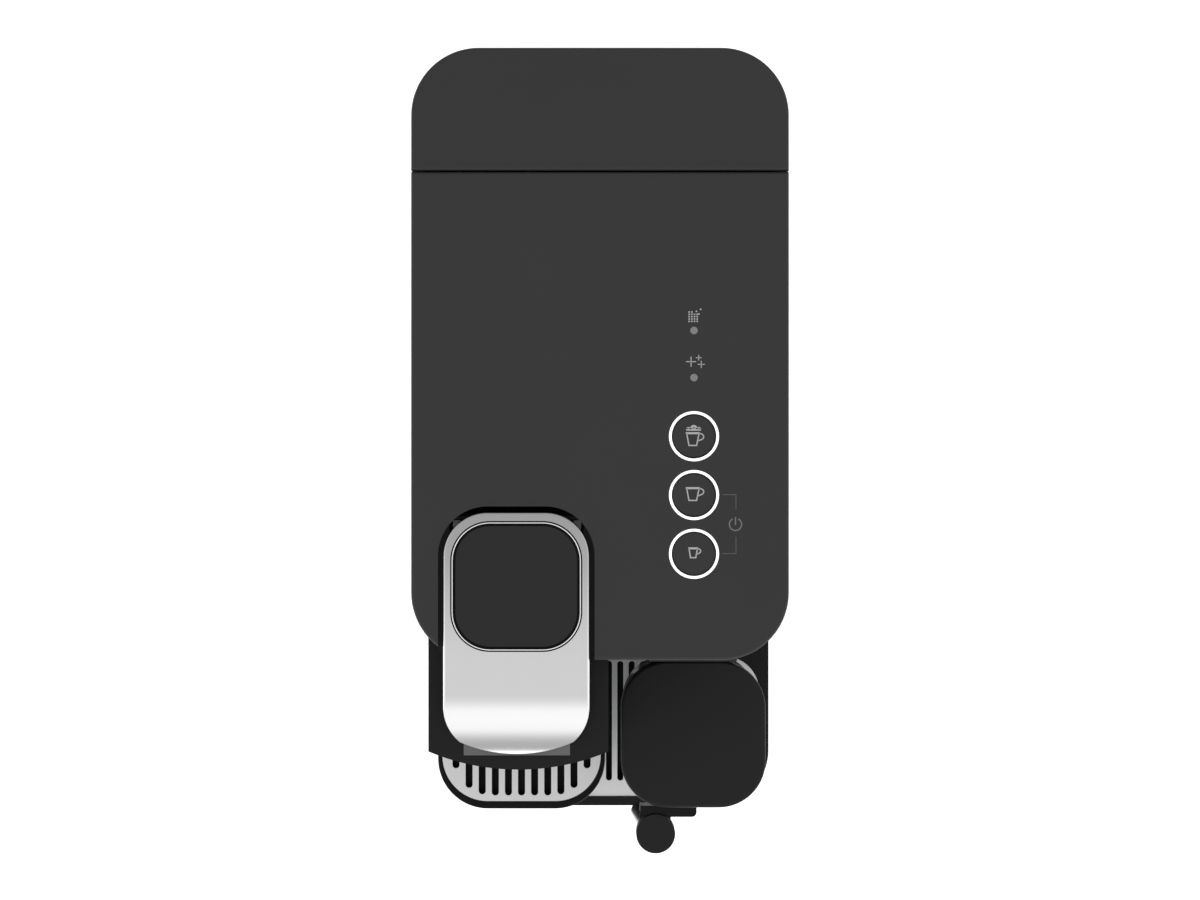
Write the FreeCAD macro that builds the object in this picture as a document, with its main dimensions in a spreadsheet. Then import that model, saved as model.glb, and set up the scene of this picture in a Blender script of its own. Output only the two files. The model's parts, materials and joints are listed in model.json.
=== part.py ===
import FreeCAD, Part
import Sketcher
import math
import os
import re

# Pod coffee machine with a milk jug, in millimetres.
# X points right, Y points back, Z points up; the origin is under the middle of the machine.

doc = FreeCAD.newDocument("pod_coffee_machine")

sizes_of_machine = {
    # case
    "body_width": 154.0,
    "body_back": 168.2,
    "body_front": -81.4,
    "tank_split": 117.5,
    "split_gap": 0.6,
    "top_height": 250.0,
    "corner_radius": 27.5,
    "panel_thickness": 4.0,
    "edge_round": 1.2,
    "case_wall": 3.0,
    "foot_height": 4.0,
    "foot_radius": 8.0,
    "foot_inset": 20.0,
    "base_thickness": 4.0,
    "deck_height": 100.0,
    "deck_thickness": 3.0,
    "seat_height": 26.0,
    "gland_radius": 7.0,
    "gland_bore": 3.5,
    "gland_offset": 40.0,
    # water tank
    "tank_wall": 2.2,
    "tank_clearance": 0.5,
    "lid_height": 13.0,
    "lid_top_thickness": 2.6,
    "lid_lip": 4.0,
    "valve_radius": 5.0,
    "valve_travel": 3.0,
    # lever
    "lever_inset": 42.9,
    "lever_width": 59.6,
    "lever_back_inset": 60.2,
    "lever_reach": 38.8,
    "lever_rise": 2.0,
    "lever_thickness": 4.5,
    "pivot_inset": 2.25,
    "pivot_drop": 3.2,
    "barrel_radius": 2.2,
    "lever_corner": 18.0,
    "lever_front_corner": 20.0,
    "lever_tip_radius": 55.0,
    "lever_bend_angle": 50.0,
    "lever_bend_length": 24.2,
    "lever_gap": 2.1,
    "lever_back_gap": 2.4,
    "lever_swing": 75.0,
    "hole_width": 53.8,
    "hole_depth": 53.3,
    "hole_corner": 16.2,
    "hole_margin": 3.5,
    "hole_floor": 1.6,
    "insert_gap": 1.2,
    "insert_drop": 0.5,
    "shaft_radius": 1.0,
    "shaft_clearance": 0.06,
    "crank_radius": 26.0,
    "crank_thickness": 3.0,
    "crank_pin_radius": 2.5,
    "crank_clearance": 0.8,
    # brewing unit
    "frame_wall": 4.5,
    "frame_bottom": 176.0,
    "frame_floor": 4.0,
    "frame_back": 5.0,
    "cage_radius": 19.0,
    "cage_wall": 3.0,
    "cage_length": 30.0,
    "cage_height": 204.0,
    "cage_gap": 0.5,
    "plate_thickness": 5.5,
    "head_left_reach": 36.3,
    "head_right_reach": 37.6,
    "head_reach": 38.1,
    "head_bow": 7.4,
    "head_bottom": 168.0,
    "head_top": 237.0,
    "head_wall": 2.5,
    "head_roof": 2.0,
    "head_overlap": 29.4,
    "outlet_reach": 30.6,
    "outlet_length": 14.0,
    "outlet_width": 20.0,
    "outlet_bottom": 152.0,
    # buttons
    "button_inset": 38.7,
    "button_first": 9.8,
    "button_pitch": 23.95,
    "ring_radius": 10.2,
    "ring_line": 1.35,
    "button_gap": 0.35,
    "button_height": 5.0,
    "button_drop": 0.2,
    "light_radius": 1.53,
    "light_first": 52.9,
    "light_pitch": 19.2,
    # drip tray and cup support
    "tray_left_inset": 3.5,
    "tray_right_inset": 0.5,
    "tray_reach": 75.8,
    "tray_height": 18.0,
    "tray_wall": 2.0,
    "tray_corner": 25.0,
    "grid_thickness": 2.0,
    "grid_rim": 4.1,
    "grid_corner": 16.0,
    "grid_pitch": 5.15,
    "grid_slot": 2.7,
    "tongue_inset": 4.5,
    "tongue_back": -12.0,
    "bin_top": 48.0,
    "cup_left_reach": 37.3,
    "cup_right_reach": 36.3,
    "cup_reach": 72.5,
    "cup_height": 90.0,
    "cup_depth": 14.0,
    "cup_corner": 22.0,
    "cup_rim": 1.6,
    "cup_front_rim": 3.0,
    "cup_pitch": 5.78,
    "cup_slot": 3.1,
    # milk jug
    "jug_inset": 6.5,
    "jug_width": 61.6,
    "jug_gap": 4.3,
    "jug_depth": 62.2,
    "jug_corner": 20.0,
    "jug_bottom": 82.0,
    "jug_top": 165.0,
    "jug_lid_height": 17.0,
    "jug_wall": 2.0,
    "jug_seal": 1.6,
    "spout_offset": 14.9,
    "spout_reach": 11.97,
    "spout_radius": 8.33,
    "spout_top": 155.0,
    "spout_height": 17.0,
    "steam_height": 156.0,
    "steam_radius": 4.0,
    "fit_gap": 0.3,
}

# Places that follow from the sizes
places_of_machine = {
    "lever_center": "(lever_inset - body_width / 2)",
    "lever_back": "(body_front + lever_back_inset)",
    "lever_tip": "(body_front - lever_reach)",
    "lever_bend_start": "(lever_tip + lever_bend_length)",
    "head_left": "(lever_center - head_left_reach)",
    "head_right": "(lever_center + head_right_reach)",
    "head_front": "(body_front - head_reach)",
    "head_back": "(body_front + head_overlap)",
    "outlet_front": "(body_front - outlet_reach)",
    "button_x": "(body_width / 2 - button_inset)",
    "tray_left": "(tray_left_inset - body_width / 2)",
    "tray_right": "(body_width / 2 - tray_right_inset)",
    "tray_front": "(body_front - tray_reach)",
    "tongue_width": "(body_width - 2 * corner_radius - 2 * tongue_inset)",
    "cup_left": "(lever_center - cup_left_reach)",
    "cup_right": "(lever_center + cup_right_reach)",
    "cup_front": "(body_front - cup_reach)",
    "jug_left": "(body_width / 2 - jug_inset - jug_width)",
    "jug_front": "(body_front - jug_gap - jug_depth)",
    "spout_x": "(jug_left + spout_offset)",
    "spout_y": "(jug_front - spout_reach)",
}

sheet = doc.addObject("Spreadsheet::Sheet", "sizes")
for row, (name, number) in enumerate(sizes_of_machine.items(), start=1):
    sheet.set("A%d" % row, name)
    sheet.set("B%d" % row, str(number))
    sheet.setAlias("B%d" % row, name)
doc.recompute()


# Helpers: expressions

def full(expression):
    """Write each place out in full and put the sheet's name before each size."""
    def name_in_full(match):
        word = match.group(1)
        return full(places_of_machine[word]) if word in places_of_machine else "sizes." + word
    return re.sub(r"\b([a-z]\w*)\b(?!\()", name_in_full, str(expression))


def value(expression):
    """Work out an expression as a plain number."""
    return float(sheet.evalExpression(full(expression)))


def bind(thing, **expressions):
    """Tie properties to expressions; a double underscore stands for a dot."""
    for path, expression in expressions.items():
        thing.setExpression(path.replace("__", "."), full(expression))


def minus(first, second):
    return "((%s) - (%s))" % (first, second)


def plus(first, second):
    return "((%s) + (%s))" % (first, second)


# Helpers: solids

def block(label, left, right, front, back, bottom, top):
    """A plain box between six faces."""
    box = doc.addObject("Part::Box", label)
    bind(box, Length=minus(right, left), Width=minus(back, front), Height=minus(top, bottom))
    bind(box, Placement__Base__x=left, Placement__Base__y=front, Placement__Base__z=bottom)
    return box


turns = {
    "x": FreeCAD.Rotation(FreeCAD.Vector(0, 1, 0), 90),
    "y": FreeCAD.Rotation(FreeCAD.Vector(1, 0, 0), -90),
    "z": FreeCAD.Rotation(),
}


def rod(label, along, radius, x, y, z, length):
    """A round bar that starts at a point and runs along one axis."""
    bar = doc.addObject("Part::Cylinder", label)
    bar.Placement = FreeCAD.Placement(FreeCAD.Vector(), turns[along])
    bind(bar, Radius=radius, Height=length)
    bind(bar, Placement__Base__x=x, Placement__Base__y=y, Placement__Base__z=z)
    return bar


def taper(label, low_radius, high_radius, x, y, z, length):
    """An upright cone frustum."""
    cone = doc.addObject("Part::Cone", label)
    bind(cone, Radius1=low_radius, Radius2=high_radius, Height=length)
    bind(cone, Placement__Base__x=x, Placement__Base__y=y, Placement__Base__z=z)
    return cone


def cut(label, base, *tools):
    """The base with every tool taken away."""
    tool = tools[0] if len(tools) == 1 else fuse(label + "_tools", *tools)
    result = doc.addObject("Part::Cut", label)
    result.Base = base
    result.Tool = tool
    return result


def fuse(label, *pieces):
    """Several solids joined into one."""
    result = doc.addObject("Part::MultiFuse", label)
    result.Shapes = list(pieces)
    result.Refine = True
    return result


def common(label, first, second):
    """The room two solids share."""
    result = doc.addObject("Part::Common", label)
    result.Base = first
    result.Tool = second
    return result


def group(label, *pieces):
    """Like fasteners kept together as one sub-part."""
    result = doc.addObject("Part::Compound", label)
    result.Links = list(pieces)
    return result


def plane_of(body, role):
    return [feature for feature in body.Origin.OriginFeatures if feature.Role == role][0]


def corner_points(width, depth, radii):
    """For each corner of a rectangle, counter-clockwise: the ends and centre of its rounding."""
    ahead = [(1, 0), (0, 1), (-1, 0), (0, -1)]
    corners = [(0, 0), (width, 0), (width, depth), (0, depth)]
    points = []
    for index, ((x, y), radius) in enumerate(zip(corners, radii)):
        before, after = ahead[index - 1], ahead[index]
        start = (x - before[0] * radius, y - before[1] * radius)
        end = (x + after[0] * radius, y + after[1] * radius)
        centre = (start[0] + after[0] * radius, start[1] + after[1] * radius)
        points.append((start, end, centre))
    return points


def rounded_outline(sketch, width, depth, front_radius, back_radius):
    """Draw a rectangle with rounded corners whose front left corner lies on the sketch's origin."""
    names = [front_radius, front_radius, back_radius, back_radius]
    radii = [value(name) if name else 0.0 for name in names]
    points = corner_points(value(width), value(depth), radii)
    for index in range(4):
        start = FreeCAD.Vector(*points[index][1], 0)
        end = FreeCAD.Vector(*points[(index + 1) % 4][0], 0)
        sketch.addGeometry(Part.LineSegment(start, end), False)
    arcs = {}
    for index in range(4):
        if names[index]:
            circle = Part.Circle(FreeCAD.Vector(*points[index][2], 0), FreeCAD.Vector(0, 0, 1),
                                 radii[index])
            turn = math.pi * (1 + index / 2)
            arcs[index] = sketch.addGeometry(Part.ArcOfCircle(circle, turn, turn + math.pi / 2), False)
    for index in range(4):
        before = (index - 1) % 4
        if index in arcs:
            sketch.addConstraint(Sketcher.Constraint("Tangent", before, 2, arcs[index], 1))
            sketch.addConstraint(Sketcher.Constraint("Tangent", arcs[index], 2, index, 1))
        else:
            sketch.addConstraint(Sketcher.Constraint("Coincident", before, 2, index, 1))
        sketch.addConstraint(Sketcher.Constraint("Vertical" if index % 2 else "Horizontal", index))
    sketch.addConstraint(Sketcher.Constraint("PointOnObject", 0, 1, -1))
    sketch.addConstraint(Sketcher.Constraint("PointOnObject", 3, 1, -2))
    driven = [("width", "DistanceX", (3, 1, 1, 1), width), ("depth", "DistanceY", (0, 1, 2, 1), depth)]
    if front_radius:
        sketch.addConstraint(Sketcher.Constraint("Equal", arcs[0], arcs[1]))
        driven.append(("front_radius", "Radius", (arcs[0],), front_radius))
    if back_radius:
        sketch.addConstraint(Sketcher.Constraint("Equal", arcs[2], arcs[3]))
        driven.append(("back_radius", "Radius", (arcs[2],), back_radius))
    for name, kind, ends, expression in driven:
        place = sketch.addConstraint(Sketcher.Constraint(kind, *ends, value(expression)))
        sketch.renameConstraint(place, name)
        sketch.setExpression("Constraints." + name, full(expression))


def slab(label, left, right, front, back, bottom, top, front_radius=None, back_radius=None, soft=None):
    """An upright block with rounded corners; soft rounds the edge around its top."""
    body = doc.addObject("PartDesign::Body", label)
    sketch = body.newObject("Sketcher::SketchObject", label + "_outline")
    sketch.AttachmentSupport = [(plane_of(body, "XY_Plane"), "")]
    sketch.MapMode = "FlatFace"
    bind(sketch, AttachmentOffset__Base__x=left, AttachmentOffset__Base__y=front)
    bind(sketch, AttachmentOffset__Base__z=bottom)
    rounded_outline(sketch, minus(right, left), minus(back, front), front_radius, back_radius)
    pad = body.newObject("PartDesign::Pad", label + "_pad")
    pad.Profile = sketch
    bind(pad, Length=minus(top, bottom))
    if soft:
        soften_top(body, pad, soft)
    return body


def soften_top(body, pad, radius):
    """Round every edge that lies in the highest plane of a pad."""
    doc.recompute()
    highest = pad.Shape.BoundBox.ZMax
    edges = []
    for number, edge in enumerate(pad.Shape.Edges, start=1):
        if abs(edge.BoundBox.ZMin - highest) < 1e-3:
            edges.append("Edge%d" % number)
    rounding = body.newObject("PartDesign::Fillet", body.Name + "_rounding")
    rounding.Base = (pad, edges)
    bind(rounding, Radius=radius)


# Faces and levels shared by several sub-parts

left_side = "(-body_width / 2)"
right_side = "(body_width / 2)"
base_top = "(foot_height + base_thickness)"
panel_bottom = "(top_height - panel_thickness)"
seat_top = "(foot_height + base_thickness + seat_height)"
tank_top = "(top_height - lid_height)"
tank_front = "(tank_split + split_gap)"
tank_middle = "((tank_split + body_back) / 2)"
inner_left = plus(left_side, "case_wall")
inner_right = minus(right_side, "case_wall")
panel_inner = "(body_front + case_wall)"
bulkhead_front = "(tank_split - case_wall)"
over = 1.0

nodes = []


def keep(*pieces):
    """List finished sub-parts."""
    nodes.extend(pieces)


# Case: base, feet, panels and inner deck

machine_foot = slab("machine_footprint", left_side, right_side, "body_front", "body_back",
                    "foot_height", base_top, "corner_radius", "corner_radius")
tray_foot = slab("tray_footprint", "tray_left + tray_wall", "tray_right - tray_wall",
                 "tray_front + tray_wall",
                 "body_front + corner_radius", "foot_height", base_top, "tray_corner - tray_wall")
keep(fuse("base_plate", machine_foot, tray_foot))

foot_rods = []
for side in (-1, 1):
    for place, y in (("front", "tray_front + foot_inset + foot_radius"),
                     ("rear", "body_back - foot_inset")):
        hand = "left" if side < 0 else "right"
        x = "%d * (body_width / 2 - foot_inset - foot_radius)" % side
        foot_rods.append(rod("foot_%s_%s" % (place, hand), "z", "foot_radius", x, y, "0", "foot_height"))
keep(group("rubber_feet", *foot_rods))

shell_outer = slab("shell_outer", left_side, right_side, "body_front", "tank_split",
                   base_top, panel_bottom, "corner_radius")
shell_inner = slab("shell_inner", inner_left, inner_right, panel_inner, bulkhead_front,
                   base_top, panel_bottom, "corner_radius - case_wall")
case_shell = cut("case_shell", shell_outer, shell_inner)

head_window = block("head_window", "head_left", "head_right", minus("body_front", over), "head_back",
                    "head_bottom", panel_bottom)
tray_window = block("tray_window", "-tongue_width / 2 - fit_gap", "tongue_width / 2 + fit_gap",
                    minus("body_front", over), plus(panel_inner, over), base_top, "bin_top + 2 * fit_gap")
jug_middle = "(jug_left + jug_width / 2)"
steam_window = rod("steam_window", "y", "steam_radius + case_wall", jug_middle,
                   minus("body_front", over), "steam_height", "case_wall + %g" % (2 * over))

front_left = plus(left_side, "corner_radius")
front_right = minus(right_side, "corner_radius")
cup_bottom = "(cup_height - cup_depth)"
tab_width = "(cup_depth / 2)"
tab_places = ["(cup_right - cup_depth)", "(cup_right - 3 * cup_depth)"]
tab_windows = []
for number, x in enumerate(tab_places, start=1):
    tab_windows.append(block("tab_window_%d" % number, minus(x, "fit_gap"),
                             plus(plus(x, tab_width), "fit_gap"),
                             minus("body_front", over), plus(panel_inner, over),
                             cup_bottom + " + cup_rim - fit_gap", cup_bottom + " + 3 * cup_rim + fit_gap"))

left_region = block("left_region", left_side, front_left, "body_front", bulkhead_front, base_top,
                    panel_bottom)
right_region = block("right_region", front_right, right_side, "body_front", bulkhead_front, base_top,
                     panel_bottom)
rear_region = block("rear_region", left_side, right_side, bulkhead_front, "tank_split", base_top,
                    panel_bottom)
front_region = block("front_region", front_left, front_right, "body_front", panel_inner, base_top,
                     panel_bottom)
keep(cut("left_side_panel", common("left_wall", case_shell, left_region), head_window))
keep(common("right_side_panel", case_shell, right_region))
keep(common("rear_bulkhead", case_shell, rear_region))
front_wall = common("front_wall", case_shell, front_region)
keep(cut("front_panel", front_wall, head_window, tray_window, steam_window, *tab_windows))

deck_top = "(deck_height + deck_thickness)"
keep(block("inner_deck", inner_left, inner_right, "frame_back + case_wall", bulkhead_front,
           "deck_height", deck_top))

# Case: top panel with the lever notch, button holes and light holes

lever_left = "(lever_center - lever_width / 2)"
lever_right = "(lever_center + lever_width / 2)"
notch_back = "(lever_back + lever_back_gap)"
panel_blank = slab("panel_blank", left_side, right_side, "body_front", "tank_split",
                   panel_bottom, "top_height", "corner_radius", None, "edge_round")
notch = slab("lever_notch", minus(lever_left, "lever_gap"), plus(lever_right, "lever_gap"),
             "body_front - corner_radius", notch_back, minus(panel_bottom, over), "top_height + %g" % over,
             None, "lever_corner + lever_gap")
button_places = ["(button_first - %d * button_pitch)" % number for number in range(3)]
light_places = ["(light_first - %d * light_pitch)" % number for number in range(2)]
panel_holes = []
for number, y in enumerate(button_places, start=1):
    panel_holes.append(rod("button_hole_%d" % number, "z", "ring_radius", "button_x", y,
                           minus(panel_bottom, over), "panel_thickness + %g" % (2 * over)))
for number, y in enumerate(light_places, start=1):
    panel_holes.append(rod("light_hole_%d" % number, "z", "light_radius", "button_x", y,
                           minus(panel_bottom, over), "panel_thickness + %g" % (2 * over)))
shaft_seat = rod("shaft_seat", "x", "shaft_radius", "lever_center - lever_width / 2 + lever_gap",
                 "lever_back - pivot_inset", "top_height + lever_rise - pivot_drop",
                 "lever_width - 2 * lever_gap")
keep(cut("top_panel", panel_blank, notch, shaft_seat, *panel_holes))

# Buttons: a lit ring set in the panel, a sliding cap inside it, and a board below

cap_radius = "(ring_radius - ring_line - button_gap)"
cap_top = "(top_height - button_drop)"
stem_radius = "(ring_radius / 4)"
board_top = "(top_height - 2 * panel_thickness - 3 * ring_line)"
board_thickness = "(panel_thickness / 2)"
button_names = ["milk_coffee", "long_coffee", "short_coffee"]
for drink, y in zip(button_names, button_places):
    rim = rod(drink + "_rim", "z", "ring_radius", "button_x", y, panel_bottom, "panel_thickness")
    eye = rod(drink + "_eye", "z", "ring_radius - ring_line", "button_x", y, panel_bottom,
              "panel_thickness")
    keep(cut(drink + "_light_ring", rim, eye))
    cap = rod(drink + "_disc", "z", cap_radius, "button_x", y, cap_top + " - button_height",
              "button_height")
    stem = rod(drink + "_stem", "z", stem_radius, "button_x", y, board_top + " + ring_line",
               cap_top + " - button_height - (" + board_top + " + ring_line)")
    keep(fuse(drink + "_button", cap, stem))
for name, y in zip(("descale", "rinse"), light_places):
    keep(rod(name + "_light", "z", "light_radius", "button_x", y, panel_bottom, "panel_thickness"))

board_front = "(button_first - 2 * button_pitch - 2 * ring_radius)"
board_back = "(light_first + 2 * ring_radius)"
board_left = "(button_x - 2 * ring_radius)"
board_right = "(button_x + 2 * ring_radius)"
board_plate = block("board_plate", board_left, board_right, board_front, board_back,
                    minus(board_top, board_thickness), board_top)
board_posts = []
for x in (plus(board_left, stem_radius), minus(board_right, stem_radius)):
    for y in (plus(board_front, stem_radius), minus(board_back, stem_radius)):
        board_posts.append(rod("board_post_%d" % len(board_posts), "z", stem_radius, x, y, board_top,
                               minus(panel_bottom, board_top)))
keep(fuse("button_board", board_plate, *board_posts))

# Water tank: seat, seal, vessel, valve and lid

seat_block = slab("seat_block", left_side, right_side, "tank_split", "body_back", base_top, seat_top,
                  None, "corner_radius")
well_radius = "(valve_radius * 2)"
well_bottom = minus(seat_top, "seat_height / 2")
well = rod("valve_well", "z", well_radius, "0", tank_middle, well_bottom, "seat_height")
gland_length = "gland_radius"
gland_height = plus(base_top, "seat_height / 2")
gland_hole = rod("gland_hole", "y", "gland_radius", "gland_offset", "body_back - gland_radius",
                 gland_height, "gland_radius + %g" % over)
keep(cut("tank_seat", seat_block, well, gland_hole))
gland_body = rod("gland_body", "y", "gland_radius", "gland_offset", "body_back - gland_radius",
                 gland_height, gland_length)
gland_bore_tool = rod("gland_bore_tool", "y", "gland_bore", "gland_offset", "body_back - gland_radius / 2",
                      gland_height, gland_length)
keep(cut("cord_gland", gland_body, gland_bore_tool))

seal_outer = rod("seal_outer", "z", well_radius, "0", tank_middle, well_bottom, "seat_height / 2")
seal_inner = rod("seal_inner", "z", "valve_radius + tank_wall", "0", tank_middle, well_bottom,
                 "seat_height / 2")
keep(cut("tank_seal", seal_outer, seal_inner))

tank_left = plus(left_side, "tank_clearance")
tank_right = minus(right_side, "tank_clearance")
tank_back = "(body_back - tank_clearance)"
tank_corner = "(corner_radius - tank_clearance)"
tank_front_corner = "(3 * tank_wall)"
vessel = slab("tank_vessel", tank_left, tank_right, tank_front, tank_back, seat_top, tank_top,
              tank_front_corner, tank_corner)
hollow = slab("tank_hollow", plus(tank_left, "tank_wall"), minus(tank_right, "tank_wall"),
              plus(tank_front, "tank_wall"), minus(tank_back, "tank_wall"), plus(seat_top, "tank_wall"),
              plus(tank_top, over), "2 * tank_wall", minus(tank_corner, "tank_wall"))
drain = rod("tank_drain", "z", "valve_radius", "0", tank_middle, minus(seat_top, over),
            "tank_wall + %g" % (2 * over))
keep(cut("water_tank", vessel, hollow, drain))

valve_disc = rod("valve_disc", "z", "valve_radius + tank_wall", "0", tank_middle,
                 plus(seat_top, "tank_wall"), "tank_wall")
valve_stem = rod("valve_stem", "z", "valve_radius - button_gap", "0", tank_middle,
                 minus(seat_top, "2 * valve_travel"), "2 * valve_travel + tank_wall")
keep(fuse("tank_valve", valve_disc, valve_stem))

lip_left = plus(tank_left, "tank_wall + tank_clearance")
lip_right = minus(tank_right, "tank_wall + tank_clearance")
lip_front = plus(tank_front, "tank_wall + tank_clearance")
lip_back = minus(tank_back, "tank_wall + tank_clearance")
lid_cap = slab("lid_cap", left_side, right_side, tank_front, "body_back", tank_top, "top_height",
               None, "corner_radius", "edge_round")
lid_plug = slab("lid_plug", lip_left, lip_right, lip_front, lip_back, minus(tank_top, "lid_lip"), tank_top,
                "2 * tank_wall", "corner_radius - tank_wall - 3 * tank_clearance")
lid_inside = slab("lid_inside", plus(lip_left, "tank_wall"), minus(lip_right, "tank_wall"),
                  plus(lip_front, "tank_wall"), minus(lip_back, "tank_wall"),
                  minus(tank_top, "lid_lip + %g" % over), "top_height - lid_top_thickness",
                  "tank_wall", "corner_radius - 2 * tank_wall - 3 * tank_clearance")
keep(cut("tank_lid", fuse("lid_solid", lid_cap, lid_plug), lid_inside))

# Lever: curved plate, black insert, crank arms and pivot shaft

lever_top = "(top_height + lever_rise)"
pivot_y = "(lever_back - pivot_inset)"
pivot_z = "(top_height + lever_rise - pivot_drop)"
insert_left = "(lever_center - hole_width / 2)"
insert_right = "(lever_center + hole_width / 2)"
insert_back = "(lever_back - hole_margin)"
insert_front = "(lever_back - hole_margin - hole_depth)"
insert_floor = "(top_height + lever_rise - lever_thickness + hole_floor)"


def lever_profile():
    """Side view of the lever: a flat plate whose front is bent down."""
    back = value("lever_back")
    top = value(lever_top)
    under = top - value("lever_thickness")
    bend = value("lever_bend_start")
    turn = math.radians(value("lever_bend_angle"))
    outer = (bend - value("lever_tip")) / math.sin(turn)
    inner = outer - value("lever_thickness")

    def on_bend(radius, angle):
        return FreeCAD.Vector(0, bend - radius * math.sin(angle), top - outer + radius * math.cos(angle))

    back_low = FreeCAD.Vector(0, back, under)
    back_high = FreeCAD.Vector(0, back, top)
    edges = [
        Part.makeLine(back_high, back_low),
        Part.makeLine(back_low, on_bend(inner, 0)),
        Part.Arc(on_bend(inner, 0), on_bend(inner, turn / 2), on_bend(inner, turn)).toShape(),
        Part.makeLine(on_bend(inner, turn), on_bend(outer, turn)),
        Part.Arc(on_bend(outer, turn), on_bend(outer, turn / 2), on_bend(outer, 0)).toShape(),
        Part.makeLine(on_bend(outer, 0), back_high),
    ]
    face = Part.Face(Part.Wire(edges))
    return face.extrude(FreeCAD.Vector(value("lever_width"), 0, 0))


lever_sweep = doc.addObject("Part::Feature", "lever_sweep")
lever_sweep.Shape = lever_profile()
bind(lever_sweep, Placement__Base__x=lever_left)
lever_plan = slab("lever_plan", lever_left, lever_right, "lever_tip", "lever_back",
                  "cage_height", lever_top, "lever_front_corner", "lever_corner", "edge_round")
lever_round = rod("lever_round", "z", "lever_tip_radius", "lever_center", "lever_tip + lever_tip_radius",
                  "cage_height", minus(plus(lever_top, over), "cage_height"))
lever_outline = common("lever_outline", lever_plan, lever_round)
lever_pocket = slab("lever_pocket", insert_left, insert_right, insert_front, insert_back, insert_floor,
                    plus(lever_top, over), "hole_corner", "hole_corner")
barrel_half = "(lever_width / 2 - lever_corner)"
lever_barrel = rod("lever_barrel", "x", "barrel_radius", minus("lever_center", barrel_half), pivot_y,
                   pivot_z,
                   "2 * " + barrel_half)
lever_bore = rod("lever_bore", "x", "shaft_radius + shaft_clearance", lever_left, pivot_y, pivot_z,
                 "lever_width")
lever_blank = fuse("lever_blank", common("lever_plate", lever_sweep, lever_outline), lever_barrel)
keep(cut("lever_frame", lever_blank, lever_pocket, lever_bore))
keep(slab("lever_insert", plus(insert_left, "insert_gap"), minus(insert_right, "insert_gap"),
          plus(insert_front, "insert_gap"), minus(insert_back, "insert_gap"), insert_floor,
          minus(lever_top, "insert_drop"), "hole_corner - insert_gap", "hole_corner - insert_gap",
          "insert_drop"))

frame_left = "(lever_center - lever_width / 2 - lever_gap)"
frame_right = "(lever_center + lever_width / 2 + lever_gap)"
shaft_half = "(lever_width / 2 - lever_gap)"
shaft_left = minus("lever_center", shaft_half)
keep(rod("lever_shaft", "x", "shaft_radius", shaft_left, pivot_y, pivot_z, "2 * " + shaft_half))

# The crank hangs under the plate, half the swing behind the upright, and drives the cage by two pins
arm_inner = "(cage_radius + cage_gap * 2)"
arm_outer = plus(arm_inner, "crank_thickness")
pin_y = "(lever_back - pivot_inset + crank_radius * sin(lever_swing / 2))"
pin_z = "(top_height + lever_rise - pivot_drop - crank_radius * cos(lever_swing / 2))"


def crank_arm(label, inner, outer):
    """One arm of the crank, from the underside of the lever to its pin, with a round end."""
    end_radius = value("crank_pin_radius * 2")
    turn = math.radians(value("lever_swing") / 2)
    under = value(lever_top) - value("lever_thickness")
    root_back = value(pivot_y) - value("crank_pin_radius * 1.5")
    root_front = root_back - value("crank_pin_radius * 4")
    pin = (value(pin_y), value(pin_z))
    side = (end_radius * math.cos(turn), end_radius * math.sin(turn))
    outline = [(root_front, under), (root_back, under), (pin[0] + side[0], pin[1] + side[1]),
               (pin[0] - side[0], pin[1] - side[1])]
    corners = [FreeCAD.Vector(0, y, z) for y, z in outline + outline[:1]]
    web = Part.Face(Part.makePolygon(corners)).extrude(FreeCAD.Vector(value(minus(outer, inner)), 0, 0))
    bar = doc.addObject("Part::Feature", label + "_bar")
    bar.Shape = web
    bind(bar, Placement__Base__x=inner)
    end = rod(label + "_end", "x", "crank_pin_radius * 2", inner, pin_y, pin_z, minus(outer, inner))
    return fuse(label, end, bar)


ear_inner = plus(arm_outer, "fit_gap")
ear_outer = plus(ear_inner, "crank_thickness")
crank_pieces = [
    crank_arm("crank_arm_left", minus("lever_center", arm_outer), minus("lever_center", arm_inner)),
    crank_arm("crank_arm_right", plus("lever_center", arm_inner), plus("lever_center", arm_outer)),
    rod("crank_pin_left", "x", "crank_pin_radius", minus("lever_center", ear_outer), pin_y, pin_z,
        minus(ear_outer, arm_inner)),
    rod("crank_pin_right", "x", "crank_pin_radius", plus("lever_center", arm_inner), pin_y, pin_z,
        minus(ear_outer, arm_inner)),
]
keep(cut("lever_crank", fuse("crank_solid", *crank_pieces), lever_blank, lever_bore))

# Brewing unit: frame, capsule chute, extraction plate, sliding cage, coffee duct and outlet

frame_front = panel_inner
floor_top = "(frame_bottom + frame_floor)"
plate_face = "(lever_back - pivot_inset - 3 * crank_pin_radius)"
cage_back = minus(plate_face, "cage_gap")
cage_front = minus(cage_back, "cage_length")
cage_left = "(lever_center - cage_radius)"
cage_right = "(lever_center + cage_radius)"
drop_hole = block("capsule_drop", cage_left, cage_right, plus(cage_front, "cage_wall"), cage_back,
                  minus("head_bottom", over), plus(floor_top, over))
frame_block = block("frame_block", frame_left, frame_right, frame_front, "frame_back", "frame_bottom",
                    panel_bottom)
frame_room = block("frame_room", plus(frame_left, "frame_wall"), minus(frame_right, "frame_wall"),
                   minus(frame_front, over), "frame_back - frame_wall", floor_top, plus(panel_bottom, over))
keep(cut("brew_frame", frame_block, frame_room, drop_hole))

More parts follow.
